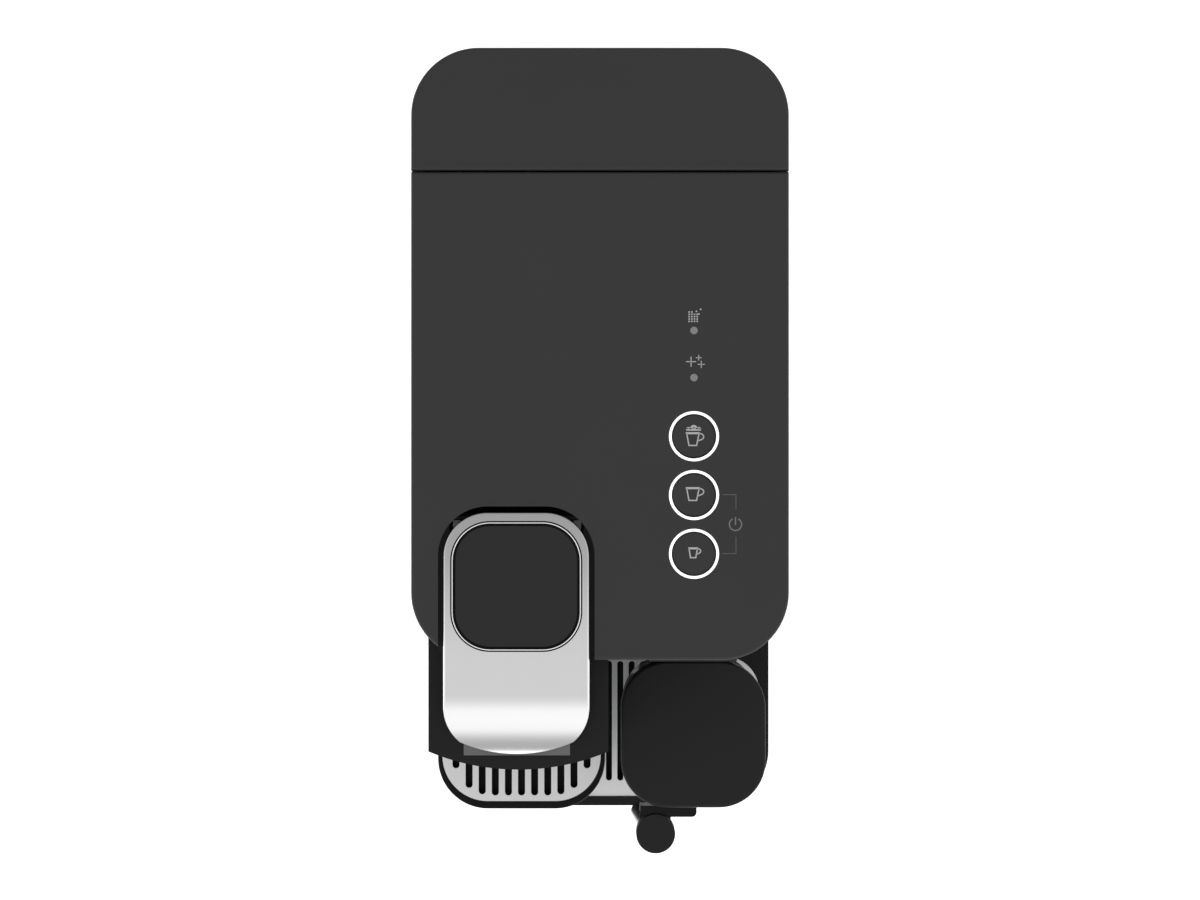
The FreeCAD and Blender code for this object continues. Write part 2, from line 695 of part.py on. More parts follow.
ear_top = plus(pin_z, "crank_pin_radius * 2 + crank_clearance")
ear_bottom = "(top_height + lever_rise - pivot_drop - crank_radius - 3 * crank_pin_radius)"
chute_bottom = plus(ear_top, "crank_clearance * 2")
chute_back = "(lever_back - pivot_inset - crank_radius * sin(lever_swing / 2) - 3 * crank_pin_radius)"
chute_plate = block("chute_plate", plus(frame_left, "frame_wall"), minus(frame_right, "frame_wall"),
                    frame_front, chute_back, chute_bottom, plus(chute_bottom, "frame_floor"))
chute_slot = block("chute_slot", cage_left, cage_right, cage_front, plus(chute_back, over),
                   minus(chute_bottom, over), plus(chute_bottom, "frame_floor + %g" % over))
keep(cut("capsule_chute", chute_plate, chute_slot))

plate_disc = rod("plate_disc", "y", "cage_radius", "lever_center", plate_face, "cage_height",
                 "plate_thickness")
plate_foot = block("plate_foot", "lever_center - cage_radius / 2", "lever_center + cage_radius / 2",
                   plate_face,
                   plus(plate_face, "plate_thickness"), floor_top, "cage_height")
keep(fuse("extraction_plate", plate_disc, plate_foot))

cage_cup = rod("cage_cup", "y", "cage_radius", "lever_center", cage_front, "cage_height", "cage_length")
cage_flange = block("cage_flange", minus("lever_center", ear_outer), plus("lever_center", ear_outer),
                    cage_front, plus(cage_front, "cage_wall"), plus(floor_top, "fit_gap"), ear_top)
cage_hollow = rod("cage_hollow", "y", "cage_radius - cage_wall", "lever_center",
                  plus(cage_front, "cage_wall"), "cage_height", "cage_length")
ears = []
for hand, inner, outer in (("left", minus("lever_center", ear_outer), minus("lever_center", ear_inner)),
                           ("right", plus("lever_center", ear_inner), plus("lever_center", ear_outer))):
    ear = block("ear_" + hand, inner, outer, cage_front,
                plus(pin_y, "2 * crank_pin_radius + crank_clearance"),
                ear_bottom, ear_top)
    ears.append(ear)
ear_slot = block("ear_slot", minus("lever_center", plus(ear_outer, over)),
                 plus("lever_center", plus(ear_outer, over)),
                 minus(pin_y, "crank_pin_radius + crank_clearance"),
                 plus(pin_y, "crank_pin_radius + crank_clearance"),
                 plus(ear_bottom, "crank_pin_radius"), minus(ear_top, "crank_pin_radius"))
keep(cut("capsule_cage", cage_cup, cage_hollow))
keep(cut("cage_yoke", fuse("yoke_solid", cage_flange, *ears), cage_cup, ear_slot))


def bowed_block(label, inset, bottom, top, back):
    """A block whose front bulges forward in a shallow arc, smaller by the inset all round."""
    half = "((head_right - head_left) / 2)"
    sweep = "((%s ^ 2 + head_bow ^ 2) / (2 * head_bow))" % half
    middle = "((head_left + head_right) / 2)"
    disc = rod(label + "_disc", "z", minus(sweep, inset), middle,
               plus("head_front - head_bow", sweep), bottom, minus(top, bottom))
    box = block(label + "_box", plus("head_left", inset), minus("head_right", inset),
                "head_front - head_bow", back, bottom, top)
    return common(label, box, disc)


head_outer = bowed_block("head_outer", "0", "head_bottom", "head_top", "head_back")
head_inner = bowed_block("head_inner", "head_wall", "head_bottom + head_wall", "head_top - head_roof",
                         "head_back + %g" % over)
frame_way = block("frame_way", minus(frame_left, "fit_gap"), plus(frame_right, "fit_gap"),
                  minus(frame_front, "fit_gap"), "head_back + %g" % over, "cage_height",
                  "head_top + %g" % over)
keep(cut("head_cover", head_outer, head_inner, drop_hole, frame_way))
trim_half = "(hole_width * 0.405)"
keep(block("head_trim", minus("lever_center", trim_half), plus("lever_center", trim_half),
           "head_front - head_wall * 0.6", "lever_tip + frame_wall", "head_top",
           "head_top + edge_round / 2"))

outlet_back = "(outlet_front + outlet_length)"
duct_left = cage_right
duct_right = plus(cage_right, "frame_wall")
duct_bottom = "(head_bottom + head_wall)"
duct_run = block("duct_run", duct_left, duct_right, "outlet_front", plate_face, duct_bottom, "frame_bottom")
duct_cross = block("duct_cross", "lever_center - outlet_width / 2", duct_right, "outlet_front", outlet_back,
                   duct_bottom, "frame_bottom")
keep(fuse("coffee_duct", duct_run, duct_cross))

outlet_block = block("outlet_block", "lever_center - outlet_width / 2", "lever_center + outlet_width / 2",
                     "outlet_front", outlet_back, "(outlet_bottom + head_bottom) / 2", "head_bottom")
outlet_tips = []
outlet_bores = []
for number, side in enumerate((-1, 1)):
    x = "lever_center + %d * outlet_width / 4" % side
    y = "outlet_front + outlet_length / 2"
    outlet_tips.append(taper("outlet_tip_%d" % number, "outlet_width / 6", "outlet_width / 4", x, y,
                             "outlet_bottom", "(head_bottom - outlet_bottom) / 2"))
    outlet_bores.append(rod("outlet_bore_%d" % number, "z", "outlet_width / 9", x, y,
                            "outlet_bottom - %g" % over, "(head_bottom - outlet_bottom) / 2"))
keep(cut("coffee_outlet", fuse("outlet_solid", outlet_block, *outlet_tips), *outlet_bores))

# Drip tray with its tongue, capsule bin and lift-out grid

tray_top = "(foot_height + base_thickness + tray_height)"
tray_back = "(body_front - fit_gap)"
grid_top = "(foot_height + base_thickness + tray_height - grid_thickness)"
grid_bottom = minus(grid_top, "grid_thickness")
grid_left = "(tray_left + grid_rim)"
grid_right = "(tray_right - grid_rim)"
grid_front = "(tray_front + grid_rim)"
grid_back = "(body_front - 2 * grid_rim)"
tray_body = slab("tray_body", "tray_left", "tray_right", "tray_front", tray_back, base_top, tray_top,
                 "tray_corner")
grid_seat = slab("grid_seat", minus(grid_left, "fit_gap"), plus(grid_right, "fit_gap"),
                 minus(grid_front, "fit_gap"), plus(grid_back, "fit_gap"), grid_bottom,
                 plus(tray_top, over),
                 "tray_corner - grid_rim", "grid_corner")
tray_room = slab("tray_room", plus(grid_left, "tray_wall"), minus(grid_right, "tray_wall"),
                 plus(grid_front, "tray_wall"), minus(grid_back, "tray_wall"), plus(base_top, "tray_wall"),
                 plus(tray_top, over), "tray_corner - grid_rim - tray_wall", "grid_corner - tray_wall")
tongue = block("tray_tongue", "-tongue_width / 2", "tongue_width / 2", minus(tray_back, "tray_wall"),
               "tongue_back",
               base_top, plus(base_top, "tray_wall"))
keep(fuse("drip_tray", cut("tray_dish", tray_body, grid_seat, tray_room), tongue))

grid_blank = slab("grid_blank", grid_left, grid_right, grid_front, grid_back, grid_bottom, grid_top,
                  "tray_corner - grid_rim", "grid_corner")
slot_front = plus(grid_front, "grid_corner * 0.44")
slot_back = minus(grid_back, "grid_slot * 0.8")
slot_count = 2 * int((value(grid_right) - value(grid_left) - value("grid_corner")) / value("grid_pitch") / 2)
grid_middle = "((tray_left + tray_right) / 2)"
grid_slots = []
for number in range(slot_count):
    x = "%s + %g * grid_pitch" % (grid_middle, number - (slot_count - 1) / 2)
    grid_slots.append(slab("grid_slot_%d" % number, minus(x, "grid_slot / 2"), plus(x, "grid_slot / 2"),
                           slot_front, slot_back, minus(grid_bottom, over), plus(grid_top, over),
                           "grid_slot * 0.49", "grid_slot * 0.49"))
keep(cut("drip_grid", grid_blank, *grid_slots))

bin_front = plus(panel_inner, "fit_gap")
bin_left = "(fit_gap - tongue_width / 2)"
bin_right = "(tongue_width / 2 - fit_gap)"
bin_block = slab("bin_block", bin_left, bin_right, bin_front, "tongue_back - tray_wall",
                 plus(base_top, "tray_wall"),
                 "bin_top", "tray_wall * 2", "tray_wall * 2")
bin_room = slab("bin_room", plus(bin_left, "tray_wall"), minus(bin_right, "tray_wall"),
                plus(bin_front, "tray_wall"),
                "tongue_back - 2 * tray_wall", plus(base_top, "2 * tray_wall"), "bin_top + %g" % over,
                "tray_wall", "tray_wall")
keep(cut("capsule_bin", bin_block, bin_room))

# Cup support: a small tray hung on the front panel, with its own grid

cup_grid_top = "(cup_height - cup_rim / 4)"
cup_grid_bottom = minus(cup_grid_top, "grid_thickness")
cup_inner_left = "(cup_left + cup_rim)"
cup_inner_right = "(cup_right - cup_rim)"
cup_inner_front = "(cup_front + cup_front_rim)"
cup_inner_back = "(body_front - cup_front_rim)"
cup_inner_corner = "(cup_corner - cup_rim)"
cup_body = slab("cup_body", "cup_left", "cup_right", "cup_front", "body_front", cup_bottom, "cup_height",
                "cup_corner", None, "cup_rim / 3")
cup_seat = slab("cup_seat", cup_inner_left, cup_inner_right, cup_inner_front, cup_inner_back,
                cup_grid_bottom,
                "cup_height + %g" % over, cup_inner_corner, "cup_front_rim")
cup_room = slab("cup_room", plus(cup_inner_left, "cup_rim"), minus(cup_inner_right, "cup_rim"),
                plus(cup_inner_front, "cup_rim"), minus(cup_inner_back, "cup_rim"),
                plus(cup_bottom, "cup_rim"),
                "cup_height", minus(cup_inner_corner, "cup_rim"), "cup_rim")
tabs = []
for number, x in enumerate(tab_places, start=1):
    tabs.append(block("cup_tab_%d" % number, x, plus(x, tab_width), minus("body_front", "cup_rim"),
                      panel_inner,
                      plus(cup_bottom, "cup_rim"), plus(cup_bottom, "3 * cup_rim")))
keep(fuse("cup_support", cut("cup_dish", cup_body, cup_seat, cup_room), *tabs))

cup_blank = slab("cup_blank", plus(cup_inner_left, "fit_gap"), minus(cup_inner_right, "fit_gap"),
                 plus(cup_inner_front, "fit_gap"), minus(cup_inner_back, "fit_gap"), cup_grid_bottom,
                 cup_grid_top,
                 minus(cup_inner_corner, "fit_gap"), "cup_front_rim")
cup_middle = "((cup_left + cup_right) / 2)"
# the slots end on an arc that keeps its distance from the support's rounded corners
end_radius = value("cup_corner - cup_pitch")
cup_slots = []
for number in range(-5, 6):
    x = "(%s + %d * cup_pitch)" % (cup_middle, number)
    outer_edge = abs(number) * value("cup_pitch") + value("cup_slot / 2")
    past_corner = max(0.0, outer_edge - value("(cup_right - cup_left) / 2 - cup_corner"))
    bend = end_radius - math.sqrt(end_radius ** 2 - min(past_corner, end_radius) ** 2)
    cup_slots.append(slab("cup_slot_%d" % (number + 6), minus(x, "cup_slot / 2"), plus(x, "cup_slot / 2"),
                          "cup_front + cup_pitch + %g" % bend, "body_front - 2 * cup_pitch",
                          minus(cup_grid_bottom, over), plus(cup_grid_top, over),
                          "cup_slot * 0.49", "cup_slot * 0.49"))
keep(cut("cup_grid", cup_blank, *cup_slots))

# Milk jug: container, seal, lid, suction tube, steam coupling and swivelling spout

jug_right = "(jug_left + jug_width)"
jug_back = "(jug_front + jug_depth)"
lid_bottom = "(jug_top - jug_lid_height)"
seal_bottom = minus(lid_bottom, "jug_seal")
can_left = "(jug_left + jug_wall / 2)"
can_right = "(jug_left + jug_width - jug_wall / 2)"
can_front = "(jug_front + jug_wall / 2)"
can_back = "(jug_front + jug_depth - jug_wall / 2)"
can_corner = "(jug_corner - jug_wall / 2)"
can_outer = slab("can_outer", can_left, can_right, can_front, can_back, "jug_bottom", seal_bottom,
                 can_corner, can_corner)
can_inner = slab("can_inner", plus(can_left, "jug_wall"), minus(can_right, "jug_wall"),
                 plus(can_front, "jug_wall"),
                 minus(can_back, "jug_wall"), "jug_bottom + jug_wall", plus(seal_bottom, over),
                 minus(can_corner, "jug_wall"), minus(can_corner, "jug_wall"))
keep(cut("milk_container", can_outer, can_inner))
seal_rim = slab("jug_seal_rim", can_left, can_right, can_front, can_back, seal_bottom, lid_bottom,
                can_corner, can_corner)
seal_eye = slab("jug_seal_eye", plus(can_left, "2 * jug_wall"), minus(can_right, "2 * jug_wall"),
                plus(can_front, "2 * jug_wall"), minus(can_back, "2 * jug_wall"), minus(seal_bottom, over),
                plus(lid_bottom, over), minus(can_corner, "2 * jug_wall"),
                minus(can_corner, "2 * jug_wall"))
keep(cut("jug_seal", seal_rim, seal_eye))
keep(slab("jug_lid", "jug_left", jug_right, "jug_front", jug_back, lid_bottom, "jug_top",
          "jug_corner", "jug_corner", "edge_round"))
tube_radius = "(steam_radius * 0.6)"
tube_x = "spout_x"
tube_y = "(jug_front + jug_corner)"
tube_bottom = "(jug_bottom + 3 * jug_wall)"
tube_outer = rod("tube_outer", "z", tube_radius, tube_x, tube_y, tube_bottom,
                 minus(lid_bottom, tube_bottom))
tube_inner = rod("tube_inner", "z", "steam_radius * 0.35", tube_x, tube_y, minus(tube_bottom, over),
                 minus(lid_bottom, tube_bottom))
keep(cut("suction_tube", tube_outer, tube_inner))

froth_half = "(jug_width * 0.3)"
keep(block("frother_body", minus(jug_middle, froth_half), plus(jug_middle, froth_half), jug_back,
           "body_front",
           lid_bottom, "jug_top"))
nipple_length = "(case_wall * 2)"
keep(rod("steam_nipple", "y", "steam_radius - fit_gap", jug_middle, "body_front", "steam_height",
         nipple_length))
socket_length = "(case_wall * 4)"
socket_outer = rod("socket_outer", "y", "steam_radius + case_wall", jug_middle, "body_front",
                   "steam_height",
                   socket_length)
socket_inner = rod("socket_inner", "y", "steam_radius", jug_middle, "body_front - %g" % over,
                   "steam_height",
                   nipple_length + " + fit_gap + %g" % over)
keep(cut("steam_socket", socket_outer, socket_inner))

cap_bottom = "(spout_top - spout_height)"
plate_bottom = minus(cap_bottom, "jug_wall * 2")
neck_radius = "(spout_radius * 0.45)"
web = slab("bracket_web", "spout_x - spout_radius * 0.8", "spout_x + spout_radius * 2.1",
           "jug_front - spout_radius * 0.58", "jug_front", plate_bottom, "spout_top - jug_wall", "jug_wall")
plate = slab("bracket_plate", "spout_x - spout_radius * 0.8", "spout_x + spout_radius * 0.8",
             "spout_y - spout_radius * 0.7", "jug_front", plate_bottom, cap_bottom, "spout_radius * 0.7")
cap_room = rod("cap_room", "z", "spout_radius + fit_gap", "spout_x", "spout_y", cap_bottom,
               "spout_height + %g" % over)
neck_bore = rod("neck_bore", "z", plus(neck_radius, "shaft_clearance"), "spout_x", "spout_y",
                minus(plate_bottom, over), "spout_height")
keep(cut("spout_bracket", fuse("bracket_solid", web, plate), cap_room, neck_bore))

neck_bottom = minus(plate_bottom, "jug_wall * 2")
cap_disc = rod("cap_disc", "z", "spout_radius", "spout_x", "spout_y", plus(cap_bottom, "fit_gap"),
               "spout_height - fit_gap")
neck = rod("spout_neck", "z", neck_radius, "spout_x", "spout_y", neck_bottom,
           minus(plus(cap_bottom, "fit_gap"), neck_bottom))
keep(fuse("spout_cap", cap_disc, neck))

nozzle_lean = FreeCAD.Vector(0.24, -0.22, 1.0)
nozzle_length = "(spout_height * 1.6)"
collar_top = minus(plate_bottom, "fit_gap")
collar_height = "(jug_wall * 4)"
collar = rod("nozzle_collar", "z", "spout_radius * 0.75", "spout_x", "spout_y",
             minus(collar_top, collar_height),
             collar_height)
nozzle_cone = taper("nozzle_cone", "spout_radius * 0.45", "spout_radius * 0.7",
                    "spout_x - %g * %s" % (nozzle_lean.x, nozzle_length),
                    "spout_y - %g * %s" % (nozzle_lean.y, nozzle_length),
                    "%s - %s - %s" % (collar_top, collar_height, nozzle_length), nozzle_length + " * 1.1")
nozzle_cone.Placement.Rotation = FreeCAD.Rotation(FreeCAD.Vector(0, 0, 1), nozzle_lean)
keep(cut("spout_nozzle", fuse("nozzle_solid", collar, nozzle_cone), neck))

# Water circuit: pump on rubber mounts, flow meter, thermoblock, steam valve, boards and hoses

pump_left = "(body_width * 0.06)"
pump_right = "(body_width * 0.36)"
pump_front = "(body_front * -0.25)"
pump_back = "(tank_split * 0.8)"
mount_height = "(foot_height * 1.5)"
pump_bottom = plus(base_top, mount_height)
pump_axis_x = "(%s + %s) / 2" % (pump_left, pump_right)
pump_radius = "(body_width * 0.11)"
mounts = []
for place, y in (("front", plus(pump_front, "foot_radius")), ("rear", minus(pump_back, "foot_radius * 2"))):
    mounts.append(block("pump_mount_" + place, pump_left, pump_right, y, plus(y, "foot_radius"), base_top,
                        pump_bottom))
keep(group("pump_mounts", *mounts))
pump_coil = block("pump_coil", pump_left, pump_right, pump_front, "(%s + %s) / 2" % (pump_front, pump_back),
                  pump_bottom, plus(pump_bottom, "body_width * 0.26"))
pump_tube = rod("pump_tube", "y", pump_radius, pump_axis_x, pump_front, plus(pump_bottom, pump_radius),
                minus(pump_back, pump_front))
keep(fuse("water_pump", pump_coil, pump_tube))

meter_x = "(-body_width * 0.24)"
meter_y = "(tank_split * 0.75)"
meter_body = rod("meter_body", "z", "foot_radius * 1.6", meter_x, meter_y, base_top, "seat_height * 0.7")
meter_port = rod("meter_port", "y", "steam_radius", meter_x, meter_y, plus(base_top, "seat_height * 0.35"),
                 "%s - %s - case_wall * 2" % (bulkhead_front, meter_y))
keep(fuse("flow_meter", meter_body, meter_port))

block_left = "(-body_width * 0.4)"
block_right = "(-body_width * 0.06)"
block_front = "(frame_back + 4 * case_wall)"
block_back = "(tank_split * 0.55)"
block_top = plus(deck_top, "body_width * 0.42")
heater = block("heater_block", block_left, block_right, block_front, block_back, deck_top, block_top)
fins = []
for number in range(6):
    z = plus(deck_top, "body_width * 0.06 * %d + case_wall * 2" % (number + 1))
    fins.append(block("fin_gap_%d" % number, minus(block_left, over), plus(block_left, "case_wall * 3"),
                      minus(block_front, over), plus(block_back, over), z, plus(z, "case_wall")))
keep(cut("thermoblock", heater, *fins))

valve_left = "(body_width * 0.12)"
valve_right = "(body_width * 0.28)"
keep(block("steam_valve", valve_left, valve_right, block_front, "(tank_split * 0.35)", deck_top,
           plus(deck_top, "body_width * 0.2")))

card_back = minus(bulkhead_front, "case_wall * 2")
card = block("card_plate", "-body_width * 0.36", "body_width * 0.36", minus(card_back, "case_wall / 2"),
             card_back,
             plus(deck_top, "case_wall * 4"), "top_height - lid_height * 2")
card_posts = []
for side in (-1, 1):
    for z in (plus(deck_top, "case_wall * 6"), "top_height - lid_height * 2 - case_wall * 2"):
        card_posts.append(rod("card_post_%d" % len(card_posts), "y", "steam_radius",
                              "%d * body_width * 0.33" % side,
                              card_back, z, minus(bulkhead_front, card_back)))
keep(fuse("control_board", card, *card_posts))


def hose(label, *stops):
    """A flexible pipe through the stops, each a point of three expressions."""
    points = [FreeCAD.Vector(*[value(number) for number in stop]) for stop in stops]
    curve = Part.BSplineCurve()
    curve.interpolate(points)
    spine = Part.Wire(curve.toShape())
    start = curve.tangent(curve.FirstParameter)[0]
    ring = Part.Wire(Part.makeCircle(value("gland_bore"), points[0], start))
    pipe = doc.addObject("Part::Feature", label)
    pipe.Shape = spine.makePipeShell([ring], True, True)
    pipe.Placement = FreeCAD.Placement()
    return pipe


pressure_bottom = plus(pump_bottom, "body_width * 0.26")
keep(hose("pressure_hose",
          ("body_width * 0.21", plus(pump_front, "foot_radius * 2"), pressure_bottom),
          ("body_width * 0.21", plus(pump_front, "foot_radius * 2"), plus(pressure_bottom, "foot_radius")),
          ("body_width * 0.21", plus(pump_front, "foot_radius * 2"), "deck_height")))

# Case screws: heads under the base plate

screw_heads = []
for x, y in (("-body_width * 0.3", "body_back * 0.5"), ("body_width * 0.3", "body_back * 0.5"),
             ("-body_width * 0.3", "body_front * 0.5"), ("body_width * 0.3", "body_front * 0.5")):
    screw_heads.append(rod("screw_head_%d" % len(screw_heads), "z", "steam_radius", x, y, "foot_height / 2",
                           "foot_height / 2"))
keep(group("case_screws", *screw_heads))

doc.recompute()

# Check every object, then write one file for each sub-part

for thing in doc.Objects:
    if "Invalid" in thing.State or "Error" in thing.State:
        raise RuntimeError("failed: " + thing.Label)
os.makedirs("parts", exist_ok=True)
for node in nodes:
    if node.Shape.isNull() or not node.Shape.isValid():
        raise RuntimeError("bad shape: " + node.Label)
    node.Shape.exportStep("parts/%s.step" % node.Label)
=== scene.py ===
import bpy
import json
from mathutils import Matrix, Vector
import numpy as np


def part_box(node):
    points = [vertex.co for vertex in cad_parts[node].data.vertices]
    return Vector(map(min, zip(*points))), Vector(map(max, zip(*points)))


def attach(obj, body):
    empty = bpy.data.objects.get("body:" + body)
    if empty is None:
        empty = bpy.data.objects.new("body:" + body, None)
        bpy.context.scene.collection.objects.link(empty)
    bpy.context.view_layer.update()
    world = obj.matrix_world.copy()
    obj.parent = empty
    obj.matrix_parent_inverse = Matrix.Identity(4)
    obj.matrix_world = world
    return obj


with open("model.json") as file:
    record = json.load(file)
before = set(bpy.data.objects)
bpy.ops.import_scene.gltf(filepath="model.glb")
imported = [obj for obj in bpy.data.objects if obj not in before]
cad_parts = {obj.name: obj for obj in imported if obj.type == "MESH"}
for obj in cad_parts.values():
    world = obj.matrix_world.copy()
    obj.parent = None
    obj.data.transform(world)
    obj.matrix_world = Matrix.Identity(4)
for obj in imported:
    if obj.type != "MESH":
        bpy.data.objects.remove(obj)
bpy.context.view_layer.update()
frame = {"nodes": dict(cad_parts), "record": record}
nodes = frame["nodes"]
mm = 0.001
print("frame loaded:", len(nodes), "nodes")

# Material helpers: each finish is a Principled shader with grain worked out from object coordinates


def linear(grey):
    # sRGB grey level out of 255 to scene linear
    level = grey / 255
    return level / 12.92 if level <= 0.04045 else ((level + 0.055) / 1.055) ** 2.4


def newMaterial(name):
    material = bpy.data.materials.new(name)
    material.use_nodes = True
    tree = material.node_tree
    return material, tree, tree.nodes["Principled BSDF"]


def objectNoise(tree, scale, detail=3.0, stretch=(1, 1, 1)):
    place = tree.nodes.new("ShaderNodeTexCoord")
    mapping = tree.nodes.new("ShaderNodeMapping")
    mapping.inputs["Scale"].default_value = stretch
    noise = tree.nodes.new("ShaderNodeTexNoise")
    noise.inputs["Scale"].default_value = scale
    noise.inputs["Detail"].default_value = detail
    tree.links.new(place.outputs["Object"], mapping.inputs["Vector"])
    tree.links.new(mapping.outputs["Vector"], noise.inputs["Vector"])
    return noise.outputs["Fac"]


def spread(tree, source, low, high, start=0.3, end=0.7, kind="LINEAR"):
    # maps a value from start..end to low..high
    ranger = tree.nodes.new("ShaderNodeMapRange")
    ranger.interpolation_type = kind
    ranger.inputs["From Min"].default_value = start
    ranger.inputs["From Max"].default_value = end
    ranger.inputs["To Min"].default_value = low
    ranger.inputs["To Max"].default_value = high
    tree.links.new(source, ranger.inputs["Value"])
    return ranger.outputs["Result"]


def combine(tree, operation, *sources):
    # one Math node over one or two sockets
    node = tree.nodes.new("ShaderNodeMath")
    node.operation = operation
    for number, source in enumerate(sources):
        tree.links.new(source, node.inputs[number])
    return node.outputs["Value"]


def tint(tree, factor, dark, light, socket):
    mix = tree.nodes.new("ShaderNodeMix")
    mix.data_type = "RGBA"
    mix.inputs["A"].default_value = (*dark, 1)
    mix.inputs["B"].default_value = (*light, 1)
    tree.links.new(factor, mix.inputs["Factor"])
    tree.links.new(mix.outputs["Result"], socket)


def roughen(tree, shader, height, depth, strength=1.0):
    bump = tree.nodes.new("ShaderNodeBump")
    bump.inputs["Distance"].default_value = depth
    bump.inputs["Strength"].default_value = strength
    tree.links.new(height, bump.inputs["Height"])
    tree.links.new(bump.outputs["Normal"], shader.inputs["Normal"])


def plastic(name, grey, rough, grain=2600, depth=0.00003, gloss=0.5, vary=0.12, hue=(1, 1, 1)):
    # moulded plastic: fine spark-eroded grain, with slow changes of colour and sheen
    material, tree, shader = newMaterial(name)
    level = linear(grey)
    slow = objectNoise(tree, 14, 2.0)
    fine = objectNoise(tree, grain, 2.0)
    dark, light = (tuple(level * part * share for part in hue) for share in (1 - vary, 1 + vary))
    tint(tree, slow, dark, light, shader.inputs["Base Color"])
    tree.links.new(spread(tree, slow, rough - 0.03, rough + 0.03), shader.inputs["Roughness"])
    roughen(tree, shader, fine, depth)
    shader.inputs["Specular IOR Level"].default_value = gloss
    return material


def metal(name, grey, rough, stretch, scale=900, depth=0.000004, swing=0.06, paintedShade=None):
    # worked metal: streaks along one direction change its sheen
    # with painted shade it darkens from one place in Y to another, standing in for a dimmer reflection
    # towards the rear
    material, tree, shader = newMaterial(name)
    level = linear(grey)
    streak = objectNoise(tree, scale, 4.0, stretch)
    shade = streak
    if paintedShade:
        split = tree.nodes.new("ShaderNodeSeparateXYZ")
        place = tree.nodes.new("ShaderNodeTexCoord")
        tree.links.new(place.outputs["Object"], split.inputs["Vector"])
        shade = spread(tree, split.outputs["Y"], 1.0, 0.0, paintedShade["light"], paintedShade["dark"], "SMOOTHSTEP")
    low = paintedShade["share"] if paintedShade else 0.94
    tint(tree, shade, (level * low,) * 3, (level, level, level * 1.005), shader.inputs["Base Color"])
    tree.links.new(spread(tree, streak, rough, rough + swing), shader.inputs["Roughness"])
    roughen(tree, shader, streak, depth, 0.4)
    shader.inputs["Metallic"].default_value = 1.0
    return material


def clear(name, colour, rough, through=0.92):
    # clear plastic with faint flow marks
    material, tree, shader = newMaterial(name)
    flow = objectNoise(tree, 40, 2.0, (1, 1, 0.3))
    tint(tree, flow, tuple(part * 0.96 for part in colour), colour, shader.inputs["Base Color"])
    tree.links.new(spread(tree, flow, rough, rough + 0.03), shader.inputs["Roughness"])
    shader.inputs["Transmission Weight"].default_value = through
    shader.inputs["IOR"].default_value = 1.49
    return material


def smoked(name, grey, cover, rough):
    # thin dark see-through plastic: cover is the share that it hides of what lies behind
    material, tree, shader = newMaterial(name)
    level = linear(grey)
    flow = objectNoise(tree, 30, 2.0, (1, 1, 0.3))
    tint(tree, flow, (level * 0.85,) * 3, (level, level, level * 1.06), shader.inputs["Base Color"])
    tree.links.new(spread(tree, flow, rough, rough + 0.05), shader.inputs["Roughness"])
    roughen(tree, shader, flow, 0.0001, 0.3)
    shader.inputs["Alpha"].default_value = cover
    shader.inputs["Specular IOR Level"].default_value = 0.9
    return material


def glowing(name, grey, light):
    # a light pipe with a faint cloudy core
    material, tree, shader = newMaterial(name)
    cloud = objectNoise(tree, 900, 2.0)
    level = linear(grey)
    for socket in ("Base Color", "Emission Color"):
        tint(tree, cloud, (level * 0.95,) * 3, (level,) * 3, shader.inputs[socket])
    shader.inputs["Emission Strength"].default_value = light
    shader.inputs["Roughness"].default_value = 0.4
    return material


# plastics: grey level, roughness, grain scale, grain depth; metals: grey level, roughness, streak direction
finishes = {
    "case_black": plastic("caseBlack", 39, 0.52, gloss=0.31),
    "satin_black": plastic("satinBlack", 25, 0.42, 1800, gloss=0.13),
    "lid_black": plastic("lidBlack", 26, 0.5, 2400, gloss=0.17),
    "gloss_black": plastic("glossBlack", 24, 0.12, 500, 0.000004),
    "trim_grey": plastic("trimGrey", 86, 0.38, 1500),
    "pump_white": plastic("pumpWhite", 214, 0.45, 900),
    "board_green": plastic("boardGreen", 110, 0.4, 700, hue=(0.15, 1, 0.35)),
    "rubber_black": plastic("rubberBlack", 34, 0.8, 1200, 0.00006, 0.3),
    "seal_grey": plastic("sealGrey", 118, 0.75, 1200, 0.00006, 0.3),
    "chrome": metal("chrome", 232, 0.19, (1, 0.05, 1), 500, 0.000001, 0.03),
    "grid_steel": metal("gridSteel", 226, 0.3, (1, 0.03, 1)),
    "spring_steel": metal("springSteel", 168, 0.35, (0.05, 1, 1)),
    "heater_alloy": metal("heaterAlloy", 196, 0.45, (1, 1, 1), 300, 0.00002),
    "tank_clear": smoked("tankClear", 52, 0.5, 0.08),
    "jug_clear": clear("jugClear", (0.92, 0.94, 0.95), 0.04),
    "light_white": glowing("lightWhite", 235, 0.62),
    "light_grey": glowing("lightGrey", 112, 0.08),
}
